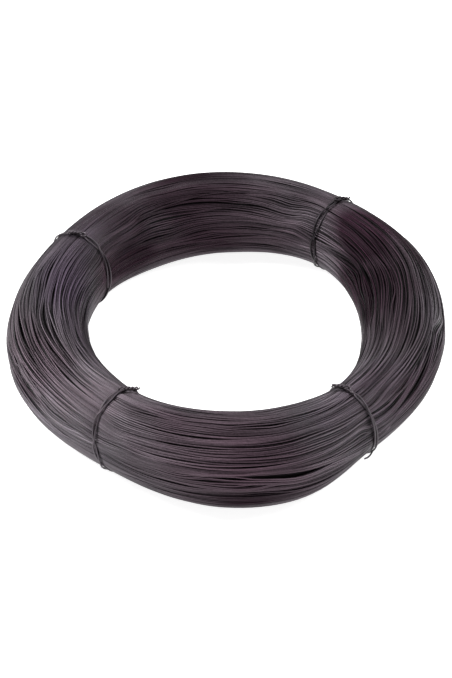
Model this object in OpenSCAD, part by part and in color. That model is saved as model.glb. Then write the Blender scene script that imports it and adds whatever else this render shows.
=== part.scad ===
// Coil of soft black building wire, lying flat and held by four doubled wire ties.
// The wire is one turned ring. Its outer turns show as rounded ridges, pressed flat
// where they lay on the winding drum and where the coil rests on the floor, and it has
// a narrow seat where each tie bites into the bundle.
// A tie is one length of wire folded in half and passed round the bundle. Its two
// strands twist loosely round each other, and its ends come up through its own eye,
// bend over the eye's side and are twisted off along the bundle.
// Millimetres, +Z up. The origin is on the axis of the bore, on the floor. Bearings run
// anticlockwise from +X, seen from above.

/* [Coil] */
// Outside diameter over the widest turns
coil_od = 420; // [380:1:480]
// Diameter of the bore, which is the drum that the coil was wound on
bore_d = 262; // [220:1:290]
// Height of the coil as it lies on the floor
coil_h = 88; // [70:1:110]
// Radius of the bundle's tightest rounding, which is at its top and bottom
crown_r = 35; // [20:0.5:38]
// How far the inner turns are flattened against the drum
drum_flat = 1.5; // [0.5:0.1:3]
// How far the lowest turns are flattened against the floor
floor_flat = 0.7; // [0.3:0.1:2]

/* [Wire] */
// Diameter of the coiled wire
wire_d = 1.65; // [1.2:0.05:4]

/* [Ties] */
// Diameter of the tie wire
tie_wire_d = 1.65; // [1.2:0.05:2.4]
// Gap between the two strands of a tie where they lie side by side
strand_gap = 1.35; // [0.5:0.05:2]
// How many times the two strands twist round each other on their way round the bundle
tie_twists = 3; // [1:1:6]
// Play between strands that cross or pass through an eye
wire_play = 0.1; // [0.05:0.05:0.4]
// Play between a tie and its seat in the bundle
seat_play = 0.2; // [0.1:0.05:0.5]
// Length of the twisted-off end of a tie
tail_len = 20; // [10:1:35]
// Length over which the twisted-off end makes one turn
tail_lay = 7; // [6:0.5:10]
// How far the freest of the twisted-off ends stands off the bundle
tail_lift = 4; // [0:0.5:8]

/* [Tie bearings] */
// Bearing of the tie at the front left
front_left_at = 232; // [225:1:250]
// Bearing of the tie at the front right
front_right_at = 312; // [290:1:320]
// Bearing of the tie at the back right
back_right_at = 51; // [35:1:60]
// Bearing of the tie at the back left
back_left_at = 149; // [130:1:155]

/* [Hidden] */
mm_to_deg = 180 / PI;

// --- The bundle's section ---------------------------------------------------------
// It is a four-centre oval: a tight arc at each end of its longer axis meets two flatter
// arcs. The crown arcs are those above and below, and the side arcs those to the inside
// and the outside. "at" is the direction of the outward normal, from 0 outwards through
// 90 at the top, and "inset" is a depth below the crests of the turns.
half_w = (coil_od - bore_d) / 4 + drum_flat / 2;
half_h = (coil_h + floor_flat) / 2;
mid_r = coil_od / 2 - half_w;
mid_z = coil_h - half_h;
tall = half_h >= half_w;
long = max(half_w, half_h);
short = min(half_w, half_h);
tight = min(crown_r, 0.97 * short);
flat = tight + ((short - tight) ^ 2 + (long - tight) ^ 2) / (2 * (short - tight));
meet = atan2(long - tight, flat - short);       // from the short axis, where the arcs meet
crown = tall ? tight : flat;
side = tall ? flat : tight;
handover = tall ? meet : 90 - meet;

function is_side(at) = atan2(abs(sin(at)), abs(cos(at))) < handover;
function arc_r(at) = is_side(at) ? side : crown;
function arc_centre(at) = is_side(at)
    ? [mid_r - sign(cos(at)) * (side - half_w), mid_z]
    : [mid_r, mid_z + sign(sin(at)) * (half_h - crown)];
function oval(at, inset) = arc_centre(at) + (arc_r(at) - inset) * [cos(at), sin(at)];

// The oval held outside the drum and above the floor
function bundle(at, inset) =
    let (p = oval(at, inset)) [max(p[0], bore_d / 2 + inset), max(p[1], inset)];

// Length of a quarter of the oval, and the normal's direction a length "s" along it
function side_len(inset) = (side - inset) * handover / mm_to_deg;
function quarter(inset) = side_len(inset) + (crown - inset) * (90 - handover) / mm_to_deg;
function in_quarter(s, inset) = s < side_len(inset)
    ? s / (side - inset) * mm_to_deg
    : handover + (s - side_len(inset)) / (crown - inset) * mm_to_deg;
function normal_at(s, inset) =
    let (q = quarter(inset), k = floor(s / q), rest = s - k * q)
    k % 2 == 0 ? 90 * k + in_quarter(rest, inset) : 90 * (k + 1) - in_quarter(q - rest, inset);

// --- The turns --------------------------------------------------------------------
// Touching round turns leave a groove half a wire deep between them. Each turn is drawn
// with a crest and two flanks, as a hexagon of the wire's size would show.
turn_count = round(4 * quarter(0) / wire_d);
function turn_point(step, inset) =
    bundle(normal_at(4 * quarter(inset) * step / turn_count, inset), inset);
turned_outline = [for (i = [0:turn_count - 1])
    each [turn_point(i, wire_d / 2), turn_point(i + 0.25, 0), turn_point(i + 0.75, 0)]];

// Section with the outer layer of turns round it
module turned_section() {
    polygon(turned_outline);
}

// Everything that is outside the drum and above the floor, a depth "inset" within them
module room(inset) {
    translate([bore_d / 2 + inset, inset]) square([coil_od, 2 * coil_h]);
}

// Plain section, a depth "inset" below the crests of the turns
module plain_section(inset) {
    joint = (flat - inset) * sin(meet);
    intersection() {
        translate([mid_r, mid_z]) rotate(tall ? 0 : 90) {
            for (end = [-1, 1]) translate([0, end * (long - tight)])
                circle(r = tight - inset, $fn = 96);
            intersection() {
                intersection_for (way = [-1, 1]) translate([way * (flat - short), 0])
                    circle(r = flat - inset, $fn = 96);
                square([2 * short, 2 * joint], center = true);
            }
        }
        room(inset);
    }
}

// --- The ties ---------------------------------------------------------------------
// A tie's own directions are "u" round the section, "along" the coil and "up" off the
// bundle, all from the middle of the pair of strands where the tie begins.
hold = (tie_wire_d + wire_play) / 2;            // half the distance of strands that cross
abreast = (tie_wire_d + strand_gap) / 2;        // the same where they lie side by side
tie_depth = seat_play + hold + tie_wire_d / 2;  // of the pair's middle below the crests
seat_depth = 2 * tie_depth;
seat_angle = 2 * (abreast + tie_wire_d / 2 + seat_play) / (bore_d / 2) * mm_to_deg;
eye_up = tie_depth + tie_wire_d / 2 + wire_play;
eye_half = hold + tie_wire_d + 3 * wire_play;   // half the eye's width, with room to spare
eye_throat = 1.2 * tie_wire_d;                  // from the ends to where the eye narrows
eye_leg = 3 * tie_wire_d;                       // from the ends to where its sides go down
rise_r = 0.85 * tie_wire_d;                     // of the bend up into the eye
bend_r = hold + 0.7 * tie_wire_d;               // of the bend over the eye's side
tail_up = eye_up + tie_wire_d + wire_play + hold;
splay = 1 / 6;                                  // share of a tail whose ends spread
loop_steps = 44;
lay_steps = 8;
tail_steps = ceil(lay_steps * tail_len / tail_lay);

INNER_SHOULDER = 134;
OUTER_SHOULDER = 50;
// Each tie: bearing, place of its knot round the section, the way its tail runs along
// the coil, and how far the tail's end stands off
FRONT_LEFT = [front_left_at, INNER_SHOULDER, 1, 0];
FRONT_RIGHT = [front_right_at, INNER_SHOULDER, -1, tail_lift];
BACK_LEFT = [back_left_at, OUTER_SHOULDER, 1, tail_lift / 8];
BACK_RIGHT = [back_right_at, OUTER_SHOULDER, -1, 0];

function reversed(list) = [for (i = [len(list) - 1:-1:0]) list[i]];
function unit(v) = v / norm(v);
function blend(t) = let (c = min(max(t, 0), 1)) c * c * (3 - 2 * c);

// A point given in the tie's own directions, in the frame of a coil whose +X is the tie
function on_bundle(knot_at, u, along, up) =
    let (at = knot_at + u / arc_r(knot_at) * mm_to_deg,
         p = bundle(at, tie_depth - up),
         turn = along / p[0] * mm_to_deg)
    [p[0] * cos(turn), p[0] * sin(turn), p[1]];

// One strand's way round the bundle, up to where it climbs to the eye
function strand(knot_at, hand) =
    [for (i = [0:loop_steps - 2])
        let (twist = 90 + 360 * tie_twists * i / loop_steps,
             half = hold + (abreast - hold) * blend(i / 2),
             p = bundle(knot_at + 360 * i / loop_steps, tie_depth + hand * hold * cos(twist)),
             turn = hand * half * sin(twist) / p[0] * mm_to_deg)
        [p[0] * cos(turn), p[0] * sin(turn), p[1]]];

// The fold in the middle of the wire: it lies on the turns and makes the eye
function eye(knot_at) = concat(
    [on_bundle(knot_at, -eye_leg, abreast, eye_up),
     on_bundle(knot_at, -eye_throat, eye_half, eye_up)],
    [for (b = [0:30:180])
        on_bundle(knot_at, rise_r + eye_half * sin(b), eye_half * cos(b), eye_up)],
    [on_bundle(knot_at, -eye_throat, -eye_half, eye_up),
     on_bundle(knot_at, -eye_leg, -abreast, eye_up)]);

// One end, from its seat up through the eye, over its side and along the twisted tail
function end(knot_at, hand, way, stand_off) =
    let (inside = hand * way, bend = bend_r - inside * hold)
    concat(
        [for (b = [30:30:90])
            on_bundle(knot_at, -rise_r * sin(b), hand * hold, rise_r * (1 - cos(b)))],
        [for (b = [0:30:90])
            on_bundle(knot_at, -rise_r, way * (bend_r - bend * cos(b)),
                      tail_up - bend_r + bend * sin(b))],
        [for (i = [1:tail_steps])
            let (t = i / tail_steps, twist = 360 * t * tail_len / tail_lay,
                 open = hold * (1 + max(0, 1 - (1 - t) / splay)))
            on_bundle(knot_at, -rise_r + open * sin(twist), way * (bend_r + t * tail_len),
                      tail_up + stand_off * t * t - inside * open * cos(twist))]);

// Round wire along a path, with its rings carried along without turning
module wire(path, d, sides = 6) {
    last = len(path) - 1;
    way = [for (i = [0:last]) unit(path[min(i + 1, last)] - path[max(i - 1, 0)])];
    across = [for (i = 0, a = cross(way[0], [0, 0, 1]); i <= last;
                   a = a - (a * way[i]) * way[i], i = i + 1) unit(a - (a * way[i]) * way[i])];
    rings = [for (i = [0:last]) for (k = [0:sides - 1])
        path[i] + d / 2 * (cos(360 * k / sides) * across[i]
                           + sin(360 * k / sides) * cross(way[i], across[i]))];
    skin = [for (i = [0:last - 1]) for (k = [0:sides - 1])
        let (a = i * sides + k, b = i * sides + (k + 1) % sides)
        each [[a, a + sides, b + sides], [a, b + sides, b]]];
    polyhedron(rings, concat(skin, [[for (k = [0:sides - 1]) k],
                                    [for (k = [0:sides - 1]) (last + 1) * sides - 1 - k]]));
}

module tie(place) {
    knot_at = place[1];
    path = concat(reversed(end(knot_at, 1, place[2], place[3])), strand(knot_at, 1),
                  eye(knot_at),
                  reversed(strand(knot_at, -1)), end(knot_at, -1, place[2], place[3]));
    color("#39343a") rotate([0, 0, place[0]]) wire(path, tie_wire_d);
}

// --- The pieces -------------------------------------------------------------------
module wire_coil() {
    order = [back_right_at, back_left_at, front_left_at, front_right_at];
    color("#4a4248") {
        rotate_extrude($fn = 128) plain_section(seat_depth);
        for (i = [0:3]) {
            from = order[i] + seat_angle / 2;
            to = order[(i + 1) % 4] + (i == 3 ? 360 : 0) - seat_angle / 2;
            rotate([0, 0, from]) rotate_extrude(angle = to - from, $fn = 128) turned_section();
        }
    }
}

module tie_front_left() { tie(FRONT_LEFT); }
module tie_front_right() { tie(FRONT_RIGHT); }
module tie_back_left() { tie(BACK_LEFT); }
module tie_back_right() { tie(BACK_RIGHT); }

wire_coil();
tie_front_left();
tie_front_right();
tie_back_left();
tie_back_right();
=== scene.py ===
"""Looks of a coil of black annealed building wire, dressed over its CAD solids.

The coil is a few hundred single turns of wire round a core, pulled into a waist by
each of four doubled wire ties. Lengths are in metres, +Z is up, the axis of the bore is
the Z axis and the coil lies on z = 0. Bearings run anticlockwise from +X.
"""
import logging
import math
from dataclasses import dataclass, field
from enum import Enum

import bpy
import numpy as np
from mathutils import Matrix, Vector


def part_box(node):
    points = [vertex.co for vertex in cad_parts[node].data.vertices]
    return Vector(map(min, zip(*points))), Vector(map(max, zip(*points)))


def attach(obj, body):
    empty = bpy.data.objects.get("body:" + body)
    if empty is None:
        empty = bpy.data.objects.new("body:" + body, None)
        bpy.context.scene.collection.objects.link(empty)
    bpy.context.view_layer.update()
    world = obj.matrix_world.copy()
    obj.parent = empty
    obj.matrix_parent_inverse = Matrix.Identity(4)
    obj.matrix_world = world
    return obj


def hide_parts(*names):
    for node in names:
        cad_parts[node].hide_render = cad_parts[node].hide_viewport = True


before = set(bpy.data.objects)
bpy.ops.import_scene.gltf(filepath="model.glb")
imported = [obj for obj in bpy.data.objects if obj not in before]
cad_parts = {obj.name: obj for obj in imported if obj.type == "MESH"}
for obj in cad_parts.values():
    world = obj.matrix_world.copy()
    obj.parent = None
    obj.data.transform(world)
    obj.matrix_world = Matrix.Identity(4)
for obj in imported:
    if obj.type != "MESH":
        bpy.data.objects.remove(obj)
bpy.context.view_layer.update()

MM = 0.001
TAU = 2 * math.pi
WIRE_R = 0.825 * MM
WHITE = (1.0, 1.0, 1.0)
BODY = "root"
WIRE_SLOT = "annealed_wire"
TIE_SLOT = "tie_wire"

log = logging.getLogger("coil")
Array = np.ndarray
Triple = tuple[float, float, float]


class Face(Enum):
    """The four faces of the bundle, by the quarter of its section they lie in."""

    RIM = 0
    CROWN = 1
    BORE = 2
    FOOT = 3


def smooth(t: Array) -> Array:
    """Eases a share t from 0 to 1 as 3t^2 - 2t^3, held at both ends."""
    c = np.clip(t, 0.0, 1.0)
    return c * c * (3 - 2 * c)


def turn_between(bearing: Array, centre: float | Array) -> Array:
    """Signed angle from a centre to each bearing, between -180 and 180 degrees."""
    return (bearing - centre + 180.0) % 360.0 - 180.0


def angles(end: int, step: int) -> Array:
    """Angles from 0 to an end at every step, given in degrees, as radians."""
    return np.radians(np.arange(0, end + 1, step))


def way_between(place: Array, centre: float | Array) -> Array:
    """Signed share of the way round from a centre to each place, -0.5 to 0.5."""
    return (place - centre + 0.5) % 1.0 - 0.5


def bell(bearing: Array, centre: float | Array, spread: float | Array) -> Array:
    """A bump round a bearing that fades over a spread: exp(-(turn / spread)^2)."""
    return np.exp(-((turn_between(bearing, centre) / spread) ** 2))


def powered(value: Array, power: float) -> Array:
    """A power of each value's size, with the value's own sign."""
    return np.sign(value) * np.abs(value) ** power


def polar(radius: Array, bearing: Array, height: Array) -> Array:
    """Points from their distance to the bore's axis, bearing in degrees and height."""
    turn = np.radians(bearing)
    return np.stack([radius * np.cos(turn), radius * np.sin(turn), height], axis=-1)


def unit(vectors: Array) -> Array:
    """Vectors along the last axis, each divided by its own length."""
    return vectors / np.linalg.norm(vectors, axis=-1, keepdims=True)


# --- The bundle ---


@dataclass(frozen=True)
class Waist:
    """A place where a tie pulls the bundle in.

    squeeze is the share of the bundle's width that the tie takes, and before and after
    are the angles over which the bundle swells again on its two sides, in degrees.
    """

    bearing: float
    squeeze: float
    before: float
    after: float


@dataclass(frozen=True)
class Wander:
    """A stretch where the bundle lies further out than elsewhere, or is fuller.

    out is how far, in metres, at the bearing, spread the angle over which it fades and
    fuller what it adds to half the width there. Below zero, both work the other way.
    """

    bearing: float
    out: float
    spread: float
    fuller: float = 0.0

    def felt(self, bearing: Array) -> Array:
        """How much of it is felt: a bell round its bearing."""
        return bell(bearing, self.bearing, self.spread)


@dataclass(frozen=True)
class Bundle:
    """The surface of the coil: a rounded section carried round the bore's axis."""

    mid_radius: float
    mid_height: float
    half_width: float
    half_height: float
    waists: tuple[Waist, ...]
    wanders: tuple[Wander, ...] = (
        Wander(192, 2.4 * MM, 18), Wander(174, 0.8 * MM, 12, -0.8 * MM),
        Wander(137, -2.4 * MM, 22), Wander(346, -1.1 * MM, 18, 1.9 * MM),
        Wander(293, 1.8 * MM, 15, 0.9 * MM), Wander(97, 1.2 * MM, 16),
        Wander(29, 1.9 * MM, 20), Wander(224, -0.7 * MM, 12, 0.9 * MM),
        Wander(116, 0.0, 20, 1.2 * MM),
    )
    squareness: float = 2.19
    wide_share: float = 0.085
    wide_at: float = 49.0
    tall_share: float = 0.04
    tall_at: float = 233.0
    height_share: float = 0.65
    lift: float = 28.5 * MM
    floor_gap: float = 0.85 * MM
    table_size: int = 4001

    def squeeze(self, bearing: Array) -> Array:
        """Share of the width that the ties take: the sum of a bell for each waist.

        Args:
            bearing: Bearings in degrees.

        Returns:
            The share lost at each bearing.
        """
        total = np.zeros_like(bearing, dtype=float)
        for w in self.waists:
            past = turn_between(bearing, w.bearing) > 0
            spread = np.where(past, w.after, w.before)
            total += w.squeeze * bell(bearing, w.bearing, spread)
        return total

    def angle_at(self, place: Array) -> Array:
        """Superellipse angle at a share of the way round the section.

        The way is measured along the section of an untied stretch, so that equal steps
        of place are equal lengths of surface.

        Args:
            place: Share of the way round, 0 at the rim, 0.25 at the crown, 0.5 at the
                bore and 0.75 at the foot.

        Returns:
            The angle in radians, 0 at the rim and growing towards the crown.
        """
        angle = np.linspace(0, TAU, self.table_size)
        x, z = self.outline(angle)
        step = np.hypot(np.diff(x) * self.half_width, np.diff(z) * self.half_height)
        way = np.concatenate([[0.0], np.cumsum(step)])
        whole = np.floor(place)
        return np.interp(place - whole, way / way[-1], angle) + TAU * whole

    def outline(self, angle: Array) -> tuple[Array, Array]:
        """Unit section |x|^n + |z|^n = 1 at angles: powers 2/n of cosine and sine."""
        power = 2 / self.squareness
        return powered(np.cos(angle), power), powered(np.sin(angle), power)

    def halves(self, bearing: Array) -> tuple[Array, Array, Array]:
        """Half width, half height and middle height of the section at each bearing.

        The width has two broad swellings round the coil and those of the wanders, the
        height one, and both lose their share to the ties, where the bundle also rises
        off the floor.

        Args:
            bearing: Bearings in degrees.

        Returns:
            Half width, half height and height of the middle, in metres.
        """
        lost = self.squeeze(bearing)
        wide = 1 + self.wide_share * np.cos(np.radians(2 * (bearing - self.wide_at)))
        tall = 1 + self.tall_share * np.cos(np.radians(bearing - self.tall_at))
        fuller = sum(w.fuller * w.felt(bearing) for w in self.wanders)
        return (
            (self.half_width * wide + fuller) * (1 - lost),
            self.half_height * tall * (1 - self.height_share * lost),
            self.mid_height + self.lift * lost,
        )

    def middle(self, bearing: Array) -> Array:
        """Radius of the section's middle: the mean one, plus a bell for each wander."""
        return self.mid_radius + sum(w.out * w.felt(bearing) for w in self.wanders)

    def girth(self, bearing: Array) -> Array:
        """Length round the section at each bearing, as of an ellipse of its size."""
        half_w, half_h, _ = self.halves(bearing)
        return TAU * np.sqrt((half_w**2 + half_h**2) / 2)

    def point(self, place: Array, bearing: Array, depth: Array) -> Array:
        """Points at a depth under the surface.

        A point is the section's outline scaled to the bundle's size at its bearing,
        moved inwards along the outline's normal by the depth, and held above the
        floor by the same depth or the floor gap.

        Args:
            place: Share of the way round the section.
            bearing: Bearing in degrees.
            depth: Depth under the surface, in metres; negative is outside it.

        Returns:
            Points, with a last axis of three.
        """
        half_w, half_h, mid_z = self.halves(bearing)
        x, z = self.outline(self.angle_at(place))
        out = powered(x, self.squareness - 1) / half_w
        up = powered(z, self.squareness - 1) / half_h
        size = np.hypot(out, up)
        radius = self.middle(bearing) + half_w * x - depth * out / size
        height = np.maximum(
            mid_z + half_h * z - depth * up / size, np.maximum(depth, self.floor_gap)
        )
        return polar(radius, bearing, height)

    def spine(self, bearing: Array) -> Array:
        """Middle of the section at each bearing, as points."""
        return polar(self.middle(bearing), bearing, self.halves(bearing)[2])


# --- Meshes ---


@dataclass
class Skin:
    """Vertices, quads and per-vertex values of a mesh that is being put together."""

    points: Array
    quads: Array
    values: dict[str, Array] = field(default_factory=dict)
    caps: list[list[int]] = field(default_factory=list)

    def build(self, name: str, material: bpy.types.Material) -> bpy.types.Object:
        """Makes the Blender object, at the origin and unturned.

        Args:
            name: Name of the piece.
            material: Its finish.

        Returns:
            The new object, linked to the scene.
        """
        mesh = bpy.data.meshes.new(name)
        mesh.from_pydata(
            self.points.reshape(-1, 3), [], self.quads.tolist() + self.caps
        )
        for key, numbers in self.values.items():
            layer = mesh.attributes.new(key, "FLOAT", "POINT")
            layer.data.foreach_set("value", numbers.astype(np.float32).ravel())
        mesh.polygons.foreach_set("use_smooth", np.ones(len(mesh.polygons), bool))
        mesh.update()
        mesh.materials.append(material)
        piece = bpy.data.objects.new(name, mesh)
        bpy.context.scene.collection.objects.link(piece)
        return piece


def ring_quads(loops: int, rings: int, sides: int, closed: bool) -> Array:
    """Quads of a set of tubes whose vertices run side by side, ring by ring.

    Corner k of ring i joins corner k + 1 and ring i + 1, so the corners run
    anticlockwise seen from outside.

    Args:
        loops: Number of tubes.
        rings: Rings in each tube.
        sides: Corners in each ring.
        closed: Whether the last ring joins the first.

    Returns:
        Indices, four to a row.
    """
    i, k = np.meshgrid(
        np.arange(rings if closed else rings - 1), np.arange(sides), indexing="ij"
    )
    j, m = (i + 1) % rings, (k + 1) % sides
    one = np.stack(
        [i * sides + k, i * sides + m, j * sides + m, j * sides + k], axis=-1
    ).reshape(-1, 4)
    start = np.arange(loops)[:, None, None] * rings * sides
    return (one[None] + start).reshape(-1, 4)


def tube_rings(centres: Array, outward: Array, radius: float, sides: int,
               closed: bool) -> Array:
    """Round wire along centre lines.

    Ring corner = centre + radius * (cos f * up + sin f * across), where up is the
    outward direction squared to the line, and across = tangent x up.

    Args:
        centres: Centre lines, shaped (loops, rings, 3).
        outward: A direction at each ring that is never along the line.
        radius: Radius of the wire.
        sides: Corners in each ring.
        closed: Whether each line joins its own start.

    Returns:
        Vertices, shaped (loops, rings, sides, 3).
    """
    if closed:
        tangent = np.roll(centres, -1, axis=1) - np.roll(centres, 1, axis=1)
    else:
        tangent = np.gradient(centres, axis=1)
    tangent = unit(tangent)
    up = unit(outward - (outward * tangent).sum(-1, keepdims=True) * tangent)
    across = np.cross(tangent, up)
    turn = np.arange(sides) / sides * TAU
    ring = (
        np.cos(turn)[:, None] * up[:, :, None, :]
        + np.sin(turn)[:, None] * across[:, :, None, :]
    )
    return centres[:, :, None, :] + radius * ring


def through(keys: Array, count: int) -> Array:
    """Smooth line through key points (Catmull-Rom).

    Between two keys b and c with neighbours a and d, the point at share t is
    (2b + (c - a)t + (2a - 5b + 4c - d)t^2 + (3b - a - 3c + d)t^3) / 2.

    Args:
        keys: Key points, one to a row.
        count: Number of points wanted along the line.

    Returns:
        The points, first and last keys included.
    """
    padded = np.vstack([2 * keys[0] - keys[1], keys, 2 * keys[-1] - keys[-2]])
    s = np.linspace(0, len(keys) - 1, count)
    i = np.minimum(s.astype(int), len(keys) - 2)
    t = (s - i)[:, None]
    a, b, c, d = (padded[i + k] for k in range(4))
    return 0.5 * (
        2 * b + (c - a) * t + (2 * a - 5 * b + 4 * c - d) * t**2
        + (3 * b - a - 3 * c + d) * t**3
    )


def rod(line: Array, outward: Array, radius: float, sides: int) -> Skin:
    """A wire with two flat ends along one line.

    Args:
        line: Points along the wire, one to a row.
        outward: A direction, or one for each point, that is never along the wire.
        radius: Radius of the wire.
        sides: Corners in each ring.

    Returns:
        The closed skin.
    """
    outward = np.broadcast_to(outward, line.shape)
    rings = tube_rings(line[None], outward[None], radius, sides, closed=False)
    count = len(line)
    last = (count - 1) * sides
    caps = [list(range(sides))[::-1], list(range(last, last + sides))]
    return Skin(rings.reshape(-1, 3), ring_quads(1, count, sides, False), caps=caps)


def joined(skins: list[Skin]) -> Skin:
    """Several skins with like values as one, each keeping its own vertices."""
    starts = np.cumsum([0] + [len(s.points) for s in skins[:-1]])
    return Skin(
        np.vstack([s.points for s in skins]),
        np.vstack([s.quads + start for s, start in zip(skins, starts)]),
        {key: np.concatenate([s.values[key] for s in skins])
         for key in skins[0].values},
        [[c + int(start) for c in cap]
         for s, start in zip(skins, starts) for cap in s.caps],
    )


# --- The ties ---


@dataclass(frozen=True)
class LooseEnd:
    """A short bent end that stands off a tie, away from its knot.

    place is where it leaves the tie, heading its direction (0 along rising bearings, 90
    towards the bore round the crown), and rise how far it stands off the bundle, as
    the sine of up to curl of a half turn.
    """

    place: float
    heading: float
    length: float
    rise: float
    curl: float = 0.8
    keys: int = 9
    rings: int = 24


@dataclass(frozen=True)
class Tie:
    """One doubled wire tie: two strands round the bundle, an eye and a twisted end.

    lean is how far the tie slants, in degrees, between mid height and the crown. knot
    is the knot's place round the section. The strands make this many turns round each
    other, from phase degrees, up to gap apart. The twisted end sets off at the angle
    heading, as a loose end does, is tail long and stands off by stand_off at its tip,
    with lay to a turn, and splays over its last share. tone is how much lighter or
    darker than the others the tie is. hold is half the distance between strands that
    touch, seat the height of their middle over the turns, post the radius of the bend
    by which an end leaves its seat and clear what it then has over the eye, which
    opens from its legs by way of eye_neck, in shares of leg, hold and hold.
    """

    node: str
    bearing: float
    lean: float
    knot: float
    turns: float
    phase: float
    heading: float
    tail: float
    stand_off: float
    loose: tuple[LooseEnd, ...] = ()
    tone: float = 0.0
    gap: float = 1.5 * MM
    hold: float = WIRE_R + 0.06 * MM
    seat: float = WIRE_R - 0.45 * MM
    post: float = 1.7 * WIRE_R
    clear: float = 1.3 * WIRE_R
    lay: float = 6.5 * MM
    splay: float = 0.9
    splay_over: float = 0.2
    settle: float = 10 * MM
    eye_leg: float = 6 * WIRE_R
    eye_gap: float = 2.2 * WIRE_R
    eye_back: float = 0.6
    eye_neck: Triple = (0.7, 1.15, 0.5)
    sides: int = 10
    strand_rings: int = 260
    eye_rings: int = 60
    end_rings_per_mm: int = 2
    bend_step: int = 15
    eye_step: int = 20

    def bearing_at(self, place: Array) -> Array:
        """Bearing of the tie at a share of the way round: it leans as the sine."""
        return self.bearing + self.lean * np.sin(TAU * place)

    def girth(self, bundle: Bundle) -> float:
        """Length round the bundle where the tie sits."""
        return float(bundle.girth(np.array([self.bearing]))[0])

    def wire(self, line: Array, across: Array) -> Skin:
        """A piece of the tie's wire along a line, across being never along it."""
        return rod(line, across, WIRE_R, self.sides)

    def on(self, bundle: Bundle, local: Array) -> Array:
        """Points given in the tie's own directions, put on the bundle.

        The first number is the way round the section from the knot, towards the bore,
        the second the way along rising bearings and the third the height over the
        turns; the bundle is unrolled along the first two.

        Args:
            bundle: The bundle.
            local: Points, one to a row.

        Returns:
            The points in the coil's frame.
        """
        way, along, up = local.T
        place = self.knot + way / self.girth(bundle)
        bearing = self.bearing_at(place)
        radius = np.hypot(*bundle.point(place, bearing, -up).T[:2])
        return bundle.point(place, bearing + np.degrees(along / radius), -up)

    def strand(self, bundle: Bundle, hand: int) -> Array:
        """One strand round the bundle, from the ends' side of the knot to the eye's.

        With turn = phase + 2 pi * turns * share of the way, it lies hand * wide *
        sqrt(sin(turn)), signed as the sine, to the side and hand * hold * cos(turn)
        over the pair's middle. By the knot it settles beside the other strand.

        Args:
            bundle: The bundle.
            hand: 1 or -1, for the two strands.

        Returns:
            Points in the tie's own directions.
        """
        girth = self.girth(bundle)
        end = girth - self.eye_leg
        way = np.linspace(0, end, self.strand_rings)
        free = smooth(np.minimum(way, end - way) / self.settle)
        turn = math.radians(self.phase) + TAU * self.turns * way / girth
        wide = self.gap / 2 + WIRE_R
        swing = powered(np.sin(turn), 0.5)
        side = self.hold + (wide * swing - self.hold) * free
        over = self.hold * np.cos(turn) * free
        return np.stack([way, hand * side, self.seat + hand * over], axis=1)

    def rise(self, hand: int) -> Array:
        """Quarter bend from a strand's seat up through the eye.

        Args:
            hand: 1 or -1, for the two strands.

        Returns:
            Points in the tie's own directions, from the top down to the seat.
        """
        b = angles(90, self.bend_step)[:0:-1]
        side = np.full_like(b, hand * self.hold)
        return np.stack(
            [-self.post * np.sin(b), side, self.seat + self.post * (1 - np.cos(b))],
            axis=1,
        )

    def twisted_end(self, bundle: Bundle, hand: int) -> Array:
        """One end from the eye: over a bend, then round the other end.

        The pair turns together by 90 degrees over a bend of radius bend towards the
        heading, and runs on as a helix: along * heading + hand * hold * (cos, sin).

        Args:
            bundle: The bundle.
            hand: 1 or -1, for the two ends.

        Returns:
            Points in the coil's frame.
        """
        head = math.radians(self.heading)
        ahead = np.array([math.sin(head), math.cos(head), 0])
        beside = np.array([math.cos(head), -math.sin(head), 0])
        up = np.array([0, 0, 1.0])
        start = np.array([-self.post, 0, 0])
        bend = self.hold + WIRE_R
        top = self.seat + self.clear + bend
        b = angles(90, self.bend_step)[:, None]
        offset = math.cos(head) * (np.cos(b) * ahead - np.sin(b) * up) \
            - math.sin(head) * beside
        arc = bend * (1 - np.cos(b)) * ahead + (top - bend + bend * np.sin(b)) * up
        first = start + arc + hand * self.hold * offset
        rings = int(self.tail / MM * self.end_rings_per_mm)
        t = np.linspace(0, 1, rings)[1:, None]
        turn = math.pi + head + TAU * t * self.tail / self.lay
        last = np.clip((t - (1 - self.splay_over)) / self.splay_over, 0, None)
        spread = self.hold * (1 + self.splay * last)
        run = (bend + t * self.tail) * ahead + (top + self.stand_off * t * t) * up
        helix = np.cos(turn) * up + np.sin(turn) * beside
        second = start + run + hand * spread * helix
        foot = start + hand * self.hold * np.array([0, 1, 0])
        foot = foot + (self.seat + self.post) * up
        return self.on(bundle, np.vstack([foot, first, second]))

    def eye(self) -> Array:
        """The fold in the middle of the wire, round both ends.

        Returns:
            Key points in the tie's own directions: a half circle between two legs.
        """
        half = self.hold + self.eye_gap
        high = self.seat + 2 * self.hold
        b = angles(180, self.eye_step)
        bow = np.stack(
            [-self.post + half + half * (np.sin(b) - self.eye_back), half * np.cos(b),
             np.full_like(b, high)], axis=1,
        )
        back, out, up = self.eye_neck
        legs = np.array([
            [-self.eye_leg, self.hold, self.seat],
            [-back * self.eye_leg, out * self.hold, self.seat + up * self.hold],
        ])
        return np.vstack([legs, bow, legs[::-1] * [1, -1, 1]])

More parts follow.
